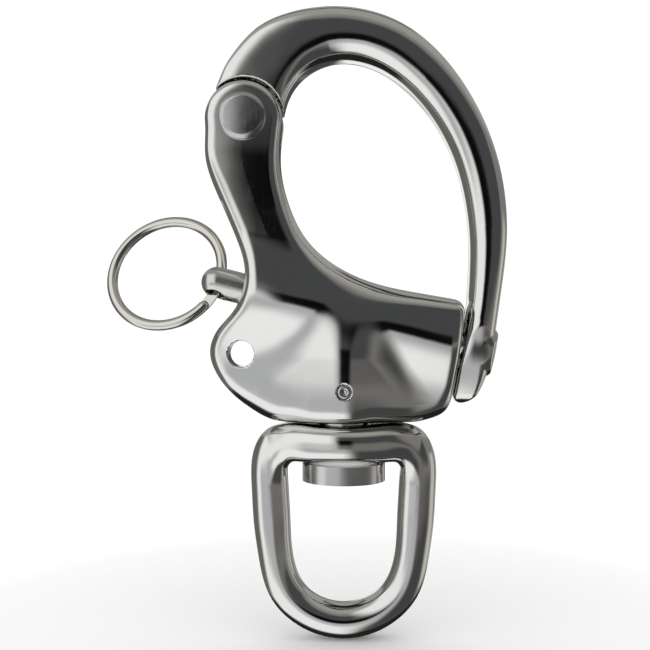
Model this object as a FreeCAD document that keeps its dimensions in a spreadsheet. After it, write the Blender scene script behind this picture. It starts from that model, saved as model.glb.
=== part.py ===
import FreeCAD, Part
import math
import os
import Sketcher
from FreeCAD import Placement, Rotation, Vector

# Snap shackle with a swivelling bail, in millimetres.
# Frame: +Z up along the swivel axis, +X towards the gate tip, -Y is the front face.
# The origin is the centre of the round bottom of the bail eye.

SIZES = {
    # frame of reference: heights above the origin
    "bearing_plane": 24.7,
    # hinge of the gate
    "pin_x": -18.8,
    "pin_height": 57.05,
    "ear_radius": 7.2,
    "slot_width": 5.3,
    "slot_radius": 7.7,
    "tongue_width": 5.1,
    "tongue_radius": 7.1,
    "step_radius": 7.55,
    "pin_radius": 2.5,
    "pin_bore_radius": 2.51,
    "gate_bore_radius": 2.56,
    "pin_head_radius": 4.45,
    "pin_face_radius": 3.95,
    "pin_head_low": 0.5,
    "pin_head_height": 1.0,
    "pin_shank_end": 13.0,
    "pin_tail_low": 13.5,
    "pin_length": 14.0,
    "heel_angle": 134.0,
    # plunger, along an axis that falls to the right
    "axis_slope": 14.5,
    "axis_height": 20.4,
    "stem_radius": 3.0,
    "stem_bore_radius": 3.07,
    "spring_bore_radius": 4.1,
    "spring_seat": 24.0,
    "plunger_collar_radius": 3.8,
    "plunger_collar_start": 42.9,
    "plunger_collar_end": 45.1,
    "nose_radius": 2.6,
    "nose_shoulder": 52.3,
    "nose_tip_radius": 1.9,
    "plunger_length": 53.3,
    "stem_end": 27.9,
    "eye_offset": 3.3,
    "eye_hole_radius": 1.75,
    "eye_hole_tilt": 68.0,
    "eye_countersink": 0.75,
    "bush_radius": 4.09,
    "bush_bore_radius": 2.68,
    "bush_length": 4.1,
    "bush_start": 45.2,
    "gate_socket_radius": 2.8,
    "gate_socket_end": 53.9,
    "gate_boss_start": 53.5,
    "gate_boss_end": 57.6,
    "gate_boss_radius": 4.5,
    "gate_boss_tip_radius": 4.2,
    # spring round the stem
    "spring_wire": 0.8,
    "spring_mean_radius": 3.5,
    "spring_turns": 7.0,
    "spring_start": 24.5,
    "spring_end": 42.5,
    # split ring
    "ring_mid_radius": 11.15,
    "ring_wire_width": 2.1,
    "ring_wire_thickness": 0.93,
    "ring_coil_pitch": 0.98,
    "ring_jog_angle": 46.0,
    # swivel
    "post_radius": 4.7,
    "post_bore_radius": 4.71,
    "post_top": 38.6,
    "post_bore_top": 39.2,
    "bail_bore_radius": 4.78,
    "head_radius": 7.9,
    "head_bottom": 13.75,
    "head_top": 17.15,
    "washer_radius": 6.8,
    "washer_bore_radius": 4.85,
    "washer_thickness": 0.8,
    "washer_recess_radius": 7.0,
    "washer_recess_depth": 0.72,
    "lock_radius": 1.3,
    "lock_bore_radius": 1.31,
    "lock_height": 30.9,
    "lock_half_length": 7.8,
    # bail
    "bail_top": 24.6,
    "bail_bar_bottom": 17.3,
    "bail_rod_radius": 3.45,
    "bail_arc_radius": 13.0,
    "bail_leg_top_x": 14.2,
    "bail_corner_radius": 3.6,
    "boss_half_depth": 8.5,
    "boss_half_width": 13.2,
    "boss_edge": 1.8,
    # lashing eye in the lobe of the body
    "lashing_x": -19.3,
    "lashing_height": 37.8,
    "lashing_radius": 2.5,
    # casting: half thickness of its two ridges and of the cheeks between them
    "plunger_ridge": 7.0,
    "plunger_ridge_slope": 0.53,
    "plunger_ridge_crown": 5.2,
    "post_ridge": 8.0,
    "post_ridge_slope": 0.6,
    "post_ridge_crown": 6.8,
    "post_ridge_top": 12.0,
    "post_ridge_fade": 40.0,
    "cheek": 4.6,
    "lobe_start_x": -8.0,
    "lobe_taper": 0.11,
    "foot_start_height": 9.0,
    "foot_taper": 0.08,
    "arm_gain": 1.0,
    "ear_gain": 0.4,
    "cast_edge_radius": 1.0,
    "saddle_corner_radius": 2.1,
    # latch face of the body, and the gap to the gate
    "face_foot_x": 20.35,
    "face_foot_height": 5.0,
    "face_lean": 8.0,
    "gate_gap": 0.35,
}

BEARING = SIZES["bearing_plane"]
SLOPE = math.radians(SIZES["axis_slope"])
PIN_X = SIZES["pin_x"]
PIN_Z = BEARING + SIZES["pin_height"]
PLUNGER_DIR = Vector(math.cos(SLOPE), 0, -math.sin(SLOPE))
PLUNGER_MID = Vector(0, 0, BEARING + SIZES["axis_height"])
PLUNGER_START = PLUNGER_MID - PLUNGER_DIR * SIZES["stem_end"]
ALONG_PLUNGER = Rotation(Vector(0, 0, 1), PLUNGER_DIR)

doc = FreeCAD.newDocument("snap_shackle")
sheet = doc.addObject("Spreadsheet::Sheet", "Sizes")
for row, (alias, number) in enumerate(SIZES.items(), start=1):
    sheet.set("A%d" % row, alias)
    sheet.set("B%d" % row, str(number))
    sheet.setAlias("B%d" % row, alias)
doc.recompute()


def size(alias):
    """The number in the cell with this alias."""
    return float(sheet.get(alias))


def point(x, height, y=0.0):
    """A point of the casting: x, height above the bearing plane, and depth."""
    return Vector(x, y, BEARING + height)


def polar(radius, degrees):
    """A point at this radius and angle round the hinge pin."""
    angle = math.radians(degrees)
    return Vector(PIN_X + radius * math.cos(angle), 0, PIN_Z + radius * math.sin(angle))


# ---------------------------------------------------------------- helpers

def turned(name, profile, place):
    """A turned piece: a closed profile of (radius, height) cells, revolved about its own Z axis."""
    body = doc.addObject("PartDesign::Body", name)
    body.Label = name
    sketch = body.newObject("Sketcher::SketchObject", name + "_profile")
    plane = [f for f in body.Origin.OriginFeatures if f.Role == "XZ_Plane"][0]
    sketch.AttachmentSupport = [(plane, "")]
    sketch.MapMode = "FlatFace"
    corners = []
    for radius_cell, height_cell in profile:
        radius = size(radius_cell) if radius_cell else 0.0
        height = size(height_cell) if height_cell else 0.0
        corners.append(Vector(radius, height, 0))
    count = len(corners)
    for i in range(count):
        sketch.addGeometry(Part.LineSegment(corners[i], corners[(i + 1) % count]), False)
    for i in range(count):
        sketch.addConstraint(Sketcher.Constraint("Coincident", i, 2, (i + 1) % count, 1))
    for i, (radius_cell, height_cell) in enumerate(profile):
        for kind, cell, value, axis in (("DistanceX", radius_cell, corners[i].x, -2),
                                        ("DistanceY", height_cell, corners[i].y, -1)):
            if cell:
                index = sketch.addConstraint(Sketcher.Constraint(kind, -1, 1, i, 1, value))
                sketch.setExpression("Constraints[%d]" % index, "Sizes." + cell)
            else:
                sketch.addConstraint(Sketcher.Constraint("PointOnObject", i, 1, axis))
    turn = body.newObject("PartDesign::Revolution", name + "_turn")
    turn.Profile = sketch
    turn.ReferenceAxis = (sketch, ["V_Axis"])
    turn.Angle = 360
    body.Tip = turn
    body.Placement = place
    doc.recompute()
    return body


def rod(name, radius_cell, length, base, direction):
    """A plain cylinder from base along direction, with its radius bound to the sheet."""
    cylinder = doc.addObject("Part::Cylinder", name)
    cylinder.setExpression("Radius", "Sizes." + radius_cell)
    cylinder.Height = length
    cylinder.Placement = Placement(base, Rotation(Vector(0, 0, 1), direction))
    return cylinder


def feature(name, shape):
    """A shape made with Part's own functions."""
    item = doc.addObject("Part::Feature", name)
    item.Shape = shape
    return item


def cut(name, base, tools):
    """The base with every tool taken out of it."""
    tool = tools[0]
    if len(tools) > 1:
        tool = doc.addObject("Part::MultiFuse", name + "_tools")
        tool.Shapes = tools
    result = doc.addObject("Part::Cut", name)
    result.Base = base
    result.Tool = tool
    result.Label = name
    doc.recompute()
    return result


def spline(points, first, last):
    """A smooth edge through the points, with its end tangents."""
    curve = Part.BSplineCurve()
    curve.interpolate(points, InitialTangent=first, FinalTangent=last)
    return curve.toShape()


def smooth_step(low, high, value):
    t = min(1.0, max(0.0, (value - low) / (high - low)))
    return t * t * (3 - 2 * t)


def ramp(value):
    """Zero below zero and rising with the value above it, with a soft start."""
    return (value + math.hypot(value, 3.0)) / 2


def ridge(off, height, slope, crown):
    """A ridge of this height whose sides run down at a steady slope from a rounded crown."""
    return height - slope * (math.hypot(off, crown) - crown)


def blend_max(a, b):
    """The larger of the two, with the crease between them filled."""
    width = 2.2
    return max(a, b) + max(width - abs(a - b), 0.0) ** 2 / (4 * width)


# ---------------------------------------------------------------- body casting

def half_thickness(x, height):
    """Half thickness of the casting: a ridge over the plunger, one over the post, flatter cheeks."""
    off_axis = x * math.sin(SLOPE) + (height - size("axis_height")) * math.cos(SLOPE)
    plunger = ridge(off_axis, size("plunger_ridge"), size("plunger_ridge_slope"),
                    size("plunger_ridge_crown"))
    above = max(0.0, height - size("post_ridge_top"))
    post = (ridge(x, size("post_ridge"), size("post_ridge_slope"), size("post_ridge_crown"))
            - above ** 2 / size("post_ridge_fade"))
    lobe = size("lobe_taper") * ramp(size("lobe_start_x") - x) * smooth_step(26.0, 20.0, height)
    foot = (size("foot_taper") * ramp(size("foot_start_height") - height)
            * smooth_step(5.0, -5.0, x))
    cheek = (size("cheek") - lobe - foot + size("arm_gain") * smooth_step(20.0, 34.0, height)
             + size("ear_gain") * smooth_step(40.0, 52.0, height))
    return blend_max(blend_max(plunger, post), cheek)


def face_cutter():
    """Everything in front of the front face of the casting, which is sampled on a wider grid."""
    columns = [-31.0 + 1.8 * i for i in range(33)]
    rows = [-5.0 + 2.0 * i for i in range(39)]
    grid = [[point(x, z, -half_thickness(x, z)) for z in rows] for x in columns]
    surface = Part.BSplineSurface()
    surface.interpolate(grid)
    return surface.toShape().extrude(Vector(0, -30, 0))


def along_ear(degrees):
    """The direction of the ear's round outline, counterclockwise."""
    angle = math.radians(degrees)
    return Vector(-math.sin(angle), 0, math.cos(angle))


def rounded(start, corner, end, radius):
    """A straight run, a tangent arc round the corner and a second straight run."""
    into = (corner - start).normalize()
    out = (end - corner).normalize()
    turn = into.getAngle(out)
    reach = radius * math.tan(turn / 2)
    first = corner - into * reach
    last = corner + out * reach
    middle = (first + last) * 0.5
    inward = (middle - corner).normalize()
    top = corner + inward * (radius / math.cos(turn / 2) - radius)
    return [Part.LineSegment(start, first).toShape(), Part.Arc(first, top, last).toShape(),
            Part.LineSegment(last, end).toShape()]


def body_outline():
    """Outline of the casting in the middle plane, counterclockwise from the ear."""
    ear_start = -8.0
    ear_end = 185.0
    radius = size("ear_radius")
    ear = Part.Arc(polar(radius, ear_start), polar(radius, 80), polar(radius, ear_end)).toShape()
    arm_and_lobe = [point(-25.9, 50.0), point(-23.5, 42.4), point(-20.2, 34.7), point(-18.5, 27.6),
                    point(-20.6, 21.4), point(-24.2, 17.2), point(-25.5, 13.3), point(-23.8, 8.4),
                    point(-18.2, 2.6), point(-11.5, 0.1)]
    left = spline([polar(radius, ear_end)] + arm_and_lobe, along_ear(ear_end), Vector(1, 0, 0))
    base = Part.LineSegment(point(-11.5, 0.1), point(12.2, 0.1)).toShape()
    face_lean = math.radians(size("face_lean"))
    face_up = Vector(math.sin(face_lean), 0, math.cos(face_lean))
    saddle_fall = math.radians(10)
    saddle_down = Vector(math.cos(saddle_fall), 0, -math.sin(saddle_fall))
    face_foot = point(size("face_foot_x"), size("face_foot_height"))
    toe = spline([point(12.2, 0.1), point(16.6, 0.9), point(19.2, 2.3), face_foot],
                 Vector(1, 0, 0), face_up)
    saddle_end = point(14.6, 24.5)
    corner = point(22.885, 23.04)
    face_and_corner = rounded(face_foot, corner, saddle_end, size("saddle_corner_radius"))
    saddle_points = [saddle_end, point(7.5, 25.95), point(-0.6, 29.2), point(-7.1, 34.8),
                     point(-10.7, 42.4), point(-12.1, 50.0), polar(radius, ear_start)]
    saddle = spline(saddle_points, saddle_down * -1, along_ear(ear_start))
    return Part.Wire([ear, left, base, toe] + face_and_corner + [saddle])


def body_blank():
    """The casting before it is drilled and slotted."""
    plate = Part.Face(body_outline()).extrude(Vector(0, 24, 0))
    plate.translate(Vector(0, -12, 0))
    front = face_cutter()
    back = front.mirror(Vector(0, 0, 0), Vector(0, 1, 0))
    shape = plate.cut(front).cut(back).Solids[0]
    rims = [e for e in shape.Edges if e.BoundBox.YMax < -3 or e.BoundBox.YMin > 3]
    return shape.makeFillet(size("cast_edge_radius"), rims)


def make_body():
    blank = feature("body_blank", body_blank())
    across = Vector(0, 1, 0)
    slot = rod("ear_slot", "slot_radius", size("slot_width"),
               Vector(PIN_X, -size("slot_width") / 2, PIN_Z), across)
    pin_hole = rod("ear_pin_hole", "pin_bore_radius", 20, Vector(PIN_X, -10, PIN_Z), across)
    stem_hole = rod("stem_hole", "stem_bore_radius", 40, PLUNGER_START, PLUNGER_DIR)
    spring_hole = rod("spring_hole", "spring_bore_radius", 40,
                      PLUNGER_START + PLUNGER_DIR * size("spring_seat"), PLUNGER_DIR)
    post_hole = rod("post_hole", "post_bore_radius", size("post_bore_top") - 20,
                    Vector(0, 0, 20), Vector(0, 0, 1))
    lock_hole = rod("lock_hole", "lock_bore_radius", 20, Vector(0, -10, size("lock_height")), across)
    eye = rod("lashing_eye", "lashing_radius", 20,
              Vector(size("lashing_x"), -10, size("lashing_height")), across)
    return cut("body", blank, [slot, pin_hole, stem_hole, spring_hole, post_hole, lock_hole, eye])


# ---------------------------------------------------------------- gate

def gate_sections():
    """Stations along the gate: outer point, inner point (x, height), depth and squareness."""
    return [
        ((-25.7, 60.3), (-12.1, 54.0), 9.8, 3.6),
        ((-23.4, 66.0), (-10.3, 61.8), 9.8, 3.4),
        ((-18.6, 72.3), (-8.0, 65.2), 9.9, 3.0),
        ((-11.0, 77.1), (-5.2, 67.4), 10.0, 2.6),
        ((-0.7, 78.8), (-0.7, 68.6), 10.0, 2.3),
        ((10.1, 76.2), (6.4, 67.1), 10.0, 2.2),
        ((20.8, 67.3), (13.8, 61.3), 9.7, 2.2),
        ((26.7, 57.4), (19.2, 53.7), 9.2, 2.2),
        ((30.5, 44.5), (22.9, 42.8), 8.7, 2.2),
        ((31.0, 34.0), (23.75, 33.3), 8.2, 2.2),
        ((30.0, 25.0), (23.4, 24.3), 7.8, 2.3),
        ((28.9, 17.6), (22.3, 16.9), 8.2, 2.6),
        ((27.5, 10.6), (21.3, 10.2), 7.6, 2.6),
        ((25.6, 6.2), (20.9, 7.0), 5.8, 2.4),
        ((23.6, 4.4), (21.4, 5.2), 3.0, 2.2),
    ]


def oval(outer, inner, depth, power):
    """A closed superellipse across the gate."""
    start = point(*inner)
    end = point(*outer)
    middle = (start + end) * 0.5
    reach = (end - start) * 0.5
    along = Vector(reach).normalize()
    count = 24
    ring = []
    for i in range(count):
        angle = 2 * math.pi * i / count
        across = math.cos(angle)
        deep = math.sin(angle)
        spread = (abs(across / reach.Length) ** power + abs(deep / (depth / 2)) ** power) ** (-1 / power)
        ring.append(middle + along * (spread * across) + Vector(0, spread * deep, 0))
    curve = Part.BSplineCurve()
    curve.interpolate(ring, PeriodicFlag=True)
    return Part.Wire([curve.toShape()])


def gate_blank():
    """The bow of the gate with its tongue, latch face and the low boss outside the socket."""
    bow = Part.makeLoft([oval(*section) for section in gate_sections()], True, False)
    boss_start = PLUNGER_START + PLUNGER_DIR * size("gate_boss_start")
    boss = Part.makeCone(size("gate_boss_radius"), size("gate_boss_tip_radius"),
                         size("gate_boss_end") - size("gate_boss_start"), boss_start, PLUNGER_DIR)
    bow = bow.fuse(boss)
    # flat latch face, parallel to the face of the body
    face = Part.makeBox(20, 30, 34)
    face.translate(Vector(-20, -15, -16))
    face.rotate(Vector(0, 0, 0), Vector(0, 1, 0), size("face_lean"))
    face.translate(point(size("face_foot_x") + size("gate_gap"), size("face_foot_height")))
    bow = bow.cut(face)
    # heel: the bow ends on a plane through the pin
    heel = Part.makeBox(40, 30, 40)
    heel.translate(Vector(0, -15, 0))
    heel.rotate(Vector(0, 0, 0), Vector(0, 1, 0), -size("heel_angle"))
    heel.translate(Vector(PIN_X, 0, PIN_Z))
    bow = bow.cut(heel)
    # step round the ears, and the tongue between them
    tongue_half = size("tongue_width") / 2
    core = Part.makeCylinder(size("tongue_radius") - 0.1, 30, Vector(PIN_X, -15, PIN_Z), Vector(0, 1, 0))
    for base_y in (tongue_half, -tongue_half - 12):
        core = core.fuse(Part.makeCylinder(size("step_radius"), 12, Vector(PIN_X, base_y, PIN_Z),
                                           Vector(0, 1, 0)))
    bow = bow.cut(core)
    tongue = Part.makeCylinder(size("tongue_radius"), size("tongue_width"),
                               Vector(PIN_X, -tongue_half, PIN_Z), Vector(0, 1, 0))
    return max(bow.Solids, key=lambda s: s.Volume).fuse(tongue).removeSplitter()


def make_gate():
    blank = feature("gate_blank", gate_blank())
    hinge_hole = rod("gate_hinge_hole", "gate_bore_radius", 20, Vector(PIN_X, -10, PIN_Z),
                     Vector(0, 1, 0))
    socket = rod("gate_socket", "gate_socket_radius", 8,
                 PLUNGER_START + PLUNGER_DIR * (size("gate_socket_end") - 8), PLUNGER_DIR)
    return cut("gate", blank, [hinge_hole, socket])


# ---------------------------------------------------------------- hinge pin

def make_hinge_pin():
    profile = [(None, None), ("pin_face_radius", None), ("pin_head_radius", "pin_head_low"),
               ("pin_head_radius", "pin_head_height"), ("pin_radius", "pin_head_height"),
               ("pin_radius", "pin_shank_end"), ("pin_head_radius", "pin_shank_end"),
               ("pin_head_radius", "pin_tail_low"), ("pin_face_radius", "pin_length"),
               (None, "pin_length")]
    start = Vector(PIN_X, -size("pin_length") / 2, PIN_Z)
    return turned("hinge_pin", profile, Placement(start, Rotation(Vector(0, 0, 1), Vector(0, 1, 0))))


# ---------------------------------------------------------------- plunger group

def ring_tangent():
    """The way through the eye of the plunger, square to the plunger's axis."""
    tilt = math.radians(size("eye_hole_tilt"))
    down = Vector(-math.sin(SLOPE), 0, -math.cos(SLOPE))
    return (Vector(0, -1, 0) * math.cos(tilt) + down * math.sin(tilt)) * -1


EYE = PLUNGER_START + PLUNGER_DIR * SIZES["eye_offset"]


def make_plunger():
    profile = [(None, None), ("stem_radius", None), ("stem_radius", "plunger_collar_start"),
               ("plunger_collar_radius", "plunger_collar_start"),
               ("plunger_collar_radius", "plunger_collar_end"), ("nose_radius", "plunger_collar_end"),
               ("nose_radius", "nose_shoulder"), ("nose_tip_radius", "plunger_length"),
               (None, "plunger_length")]
    blank = turned("plunger_blank", profile, Placement(PLUNGER_START, ALONG_PLUNGER))
    through = ring_tangent()
    hole = rod("eye_hole", "eye_hole_radius", 12, EYE - through * 6, through)
    # rounded end of the eye: everything outside a ball is taken off
    radius = size("stem_radius")
    cap = Part.makeCylinder(radius + 1, radius + 1, PLUNGER_START - PLUNGER_DIR, PLUNGER_DIR)
    ball = Part.makeSphere(radius, PLUNGER_START + PLUNGER_DIR * radius)
    dome = feature("eye_dome", cap.cut(ball))
    countersinks = []
    for side in (-1, 1):
        mouth = EYE + through * (side * (radius + 0.25))
        cone = Part.makeCone(size("eye_hole_radius") + size("eye_countersink"),
                             size("eye_hole_radius") - 0.2, 1.3, mouth, through * -side)
        countersinks.append(feature("eye_countersink_%d" % (side + 2), cone))
    return cut("plunger", blank, [hole, dome] + countersinks)


def make_plunger_bush():
    bush = doc.addObject("PartDesign::Body", "plunger_bush")
    bush.Label = "plunger_bush"
    sketch = bush.newObject("Sketcher::SketchObject", "bush_section")
    plane = [f for f in bush.Origin.OriginFeatures if f.Role == "XY_Plane"][0]
    sketch.AttachmentSupport = [(plane, "")]
    sketch.MapMode = "FlatFace"
    for index, cell in enumerate(("bush_radius", "bush_bore_radius")):
        sketch.addGeometry(Part.Circle(Vector(0, 0, 0), Vector(0, 0, 1), size(cell)), False)
        sketch.addConstraint(Sketcher.Constraint("Coincident", index, 3, -1, 1))
        number = sketch.addConstraint(Sketcher.Constraint("Radius", index, size(cell)))
        sketch.setExpression("Constraints[%d]" % number, "Sizes." + cell)
    pad = bush.newObject("PartDesign::Pad", "bush_pad")
    pad.Profile = sketch
    pad.setExpression("Length", "Sizes.bush_length")
    bush.Tip = pad
    start = PLUNGER_START + PLUNGER_DIR * size("bush_start")
    bush.Placement = Placement(start, ALONG_PLUNGER)
    doc.recompute()
    return bush


def make_plunger_spring():
    """A compression spring round the stem, swept along its helix."""
    length = size("spring_end") - size("spring_start")
    radius = size("spring_mean_radius")
    turns = size("spring_turns")
    per_turn = 12
    points = []
    for i in range(int(turns * per_turn) + 1):
        angle = 2 * math.pi * i / per_turn
        points.append(Vector(radius * math.cos(angle), radius * math.sin(angle),
                             length * i / (turns * per_turn)))
    path = Part.BSplineCurve()
    path.interpolate(points)
    edge = path.toShape()
    section = Part.Wire([Part.makeCircle(size("spring_wire") / 2, points[0],
                                         edge.tangentAt(edge.FirstParameter))])
    pipe = Part.BRepOffsetAPI.MakePipeShell(Part.Wire([edge]))
    pipe.setFrenetMode(True)
    pipe.add(section)
    pipe.build()
    pipe.makeSolid()
    spring = feature("plunger_spring", pipe.shape())
    start = PLUNGER_START + PLUNGER_DIR * size("spring_start")
    spring.Placement = Placement(start, ALONG_PLUNGER)
    return spring


def make_pull_ring():
    """A split ring of flat wire: two coils joined by a jog that passes through the eye."""
    tangent = Vector(0.284, 0.328, 0.902).normalize()
    outward = Vector(-0.938, 0.29, 0.19).normalize()
    normal = tangent.cross(outward).normalize()
    outward = normal.cross(tangent).normalize()
    centre = EYE + outward * size("ring_mid_radius")
    jog = size("ring_jog_angle")
    half_pitch = size("ring_coil_pitch") / 2
    turns_start = jog / 2 - 360
    turns_end = 360 - jog / 2
    steps = 60
    points = []
    for i in range(steps + 1):
        degrees = turns_start + (turns_end - turns_start) * i / steps
        angle = math.radians(degrees)
        level = half_pitch * (2 * smooth_step(-jog / 2, jog / 2, degrees) - 1)
        rim = outward * (-math.cos(angle)) + tangent * math.sin(angle)
        points.append(centre + rim * size("ring_mid_radius") + normal * level)
    path = Part.BSplineCurve()
    path.interpolate(points)
    edge = path.toShape()
    start = edge.valueAt(edge.FirstParameter)
    radial = (start - centre - normal * ((start - centre).dot(normal))).normalize()
    half_width = size("ring_wire_width") / 2
    half_thick = size("ring_wire_thickness") / 2
    corners = [start + radial * (a * half_width) + normal * (b * half_thick)
               for a, b in ((-1, -1), (1, -1), (1, 1), (-1, 1), (-1, -1))]
    section = Part.makePolygon(corners)
    pipe = Part.BRepOffsetAPI.MakePipeShell(Part.Wire([edge]))
    pipe.setBiNormalMode(normal)
    pipe.add(section)
    pipe.build()
    pipe.makeSolid()
    return feature("pull_ring", pipe.shape())


# ---------------------------------------------------------------- swivel

def make_swivel_post():
    post = turned("post_blank", [(None, "head_bottom"), ("head_radius", "head_bottom"),
                                 ("head_radius", "head_top"), ("post_radius", "head_top"),
                                 ("post_radius", "post_top"), (None, "post_top")],
                  Placement(Vector(0, 0, 0), Rotation()))
    lock_hole = rod("post_lock_hole", "lock_bore_radius", 20, Vector(0, -10, size("lock_height")),
                    Vector(0, 1, 0))
    return cut("swivel_post", post, [lock_hole])


def make_thrust_washer():
    outer = rod("washer_blank", "washer_radius", size("washer_thickness"),
                Vector(0, 0, size("head_top") + 0.02), Vector(0, 0, 1))
    hole = rod("washer_hole", "washer_bore_radius", 6, Vector(0, 0, size("head_top") - 2),
               Vector(0, 0, 1))
    return cut("thrust_washer", outer, [hole])


def make_post_lock_pin():
    pin = rod("post_lock_pin", "lock_radius", 2 * size("lock_half_length"),
              Vector(0, -size("lock_half_length"), size("lock_height")), Vector(0, 1, 0))
    pin.Label = "post_lock_pin"
    return pin


# ---------------------------------------------------------------- bail

def straight_rod(start, end, radius):
    """A round bar between two points."""
    run = end - start
    return Part.makeCylinder(radius, run.Length, start, run)


def bent_rod(centre, start, degrees, radius):
    """A round bar bent about the Y axis through centre, beginning at start."""
    spoke = start - centre
    along = Vector(0, 1, 0).cross(spoke)
    section = Part.Face(Part.Wire([Part.makeCircle(radius, start, along)]))
    return section.revolve(centre, Vector(0, 1, 0), degrees)


def bail_rod():
    """Bar, corners, legs that lean in, and the round bottom, as one bent round bar."""
    rod_radius = size("bail_rod_radius")
    bend = size("bail_corner_radius")
    arc = size("bail_arc_radius")
    top_x = size("bail_leg_top_x")
    bar_z = (size("bail_top") + size("bail_bar_bottom")) / 2
    # the leg's centre line passes through (-top_x, bar_z) and touches the arc of the round bottom
    lean = math.acos(arc / math.hypot(top_x, bar_z)) - math.atan2(bar_z, top_x)
    leg_side = Vector(-math.cos(lean), 0, -math.sin(lean))
    leg_foot = leg_side * arc
    bend_z = bar_z - bend
    bend_x = -(arc - bend + bend_z * math.sin(lean)) / math.cos(lean)
    bend_centre = Vector(bend_x, 0, bend_z)
    leg_top = bend_centre + leg_side * bend
    bar_end = bend_centre + Vector(0, 0, bend)
    side = [bent_rod(bend_centre, bar_end, -90 - math.degrees(lean), rod_radius),
            straight_rod(leg_top, leg_foot, rod_radius)]
    other_side = [piece.mirror(Vector(0, 0, 0), Vector(1, 0, 0)) for piece in side]
    bar = straight_rod(bar_end, Vector(-bar_end.x, 0, bar_end.z), rod_radius)
    bottom = bent_rod(Vector(0, 0, 0), leg_foot, -180 + 2 * math.degrees(lean), rod_radius)
    return bar.fuse(side + other_side + [bottom])


def make_bail():
    """The bent rod with an oval boss for the post."""
    height = size("bail_top") - size("bail_bar_bottom")
    plan = Part.Ellipse(Vector(0, 0, 0), size("boss_half_width"), size("boss_half_depth"))
    boss = Part.Face(Part.Wire([plan.toShape()])).extrude(Vector(0, 0, height))
    boss = boss.makeFillet(size("boss_edge"), [e for e in boss.Edges if e.BoundBox.ZLength < 0.1])
    boss.translate(Vector(0, 0, size("bail_bar_bottom")))
    blank = feature("bail_blank", bail_rod().fuse(boss))
    hole = rod("bail_bore", "bail_bore_radius", 20, Vector(0, 0, 12), Vector(0, 0, 1))
    recess = rod("washer_recess", "washer_recess_radius", 8,
                 Vector(0, 0, size("bail_bar_bottom") + size("washer_recess_depth") - 8), Vector(0, 0, 1))
    return cut("bail", blank, [hole, recess])


# ---------------------------------------------------------------- build and write

PIECES = [make_body(), make_gate(), make_hinge_pin(), make_plunger(), make_plunger_bush(),
          make_plunger_spring(), make_pull_ring(), make_swivel_post(), make_thrust_washer(),
          make_post_lock_pin(), make_bail()]
doc.recompute()

for item in doc.Objects:
    if "Invalid" in item.State or "Error" in item.State:
        raise RuntimeError("%s failed: %s" % (item.Name, item.State))
os.makedirs("parts", exist_ok=True)
for piece in PIECES:
    if piece.Shape.isNull() or not piece.Shape.isValid():
        raise RuntimeError("%s has no valid shape" % piece.Label)
    box = piece.Shape.BoundBox
    print("%-15s solids %d volume %8.1f  x %6.1f..%5.1f y %6.2f..%5.2f z %6.1f..%5.1f" % (
        piece.Label, len(piece.Shape.Solids), piece.Shape.Volume,
        box.XMin, box.XMax, box.YMin, box.YMax, box.ZMin, box.ZMax))
    piece.Shape.exportStep("parts/%s.step" % piece.Label)
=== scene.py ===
import math

import bpy
import numpy as np
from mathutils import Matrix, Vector
from mathutils.kdtree import KDTree


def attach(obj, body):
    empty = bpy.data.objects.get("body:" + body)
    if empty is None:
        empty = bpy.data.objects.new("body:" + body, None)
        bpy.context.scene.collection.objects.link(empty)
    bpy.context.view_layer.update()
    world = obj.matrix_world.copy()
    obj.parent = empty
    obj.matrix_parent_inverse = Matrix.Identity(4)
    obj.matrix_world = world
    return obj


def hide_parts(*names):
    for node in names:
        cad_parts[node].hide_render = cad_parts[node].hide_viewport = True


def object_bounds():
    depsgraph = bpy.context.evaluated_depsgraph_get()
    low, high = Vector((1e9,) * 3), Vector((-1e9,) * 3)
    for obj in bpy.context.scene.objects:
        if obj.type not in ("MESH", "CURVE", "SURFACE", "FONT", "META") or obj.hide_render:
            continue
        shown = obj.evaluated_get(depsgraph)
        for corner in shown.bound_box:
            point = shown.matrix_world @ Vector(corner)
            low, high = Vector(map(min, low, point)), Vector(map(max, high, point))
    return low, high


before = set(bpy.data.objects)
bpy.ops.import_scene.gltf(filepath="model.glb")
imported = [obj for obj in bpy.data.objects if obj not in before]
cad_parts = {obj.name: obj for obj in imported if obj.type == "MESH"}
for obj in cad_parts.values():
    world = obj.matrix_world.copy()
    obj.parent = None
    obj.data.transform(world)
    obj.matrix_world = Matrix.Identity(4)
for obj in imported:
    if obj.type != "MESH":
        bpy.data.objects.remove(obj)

LOW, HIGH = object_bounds()

# Shapes are worked out in millimetres, in the frame of the part, and made in metres.
MM = 0.001
GRID = 0.3                          # spacing of the grid from which a casting's mesh is made
DENSE = 0.15                        # spacing of the points on splines and arcs
BEARING = 24.7                      # height of the plane between body and bail
SLOPE = math.radians(14.5)          # the plunger's axis falls to the right
AXIS_HEIGHT = BEARING + 20.4        # where the plunger's axis crosses the swivel axis
PLUNGER_MID = np.array([0.0, 0.0, AXIS_HEIGHT])
PLUNGER_DIR = np.array([math.cos(SLOPE), 0.0, -math.sin(SLOPE)])
FACE_LEAN = math.radians(8)         # lean of the latch face
PIN = np.array([-18.8, BEARING + 57.05])        # the hinge, in X and Z
LOCK_HEIGHT = 30.9                  # height of the pin that locks the post


# ------------------------------------------------------------------ curves in the X-Z plane

def at(x, height):
    """A point given by x and its height above the bearing plane."""
    return np.array([x, BEARING + height])


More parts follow.
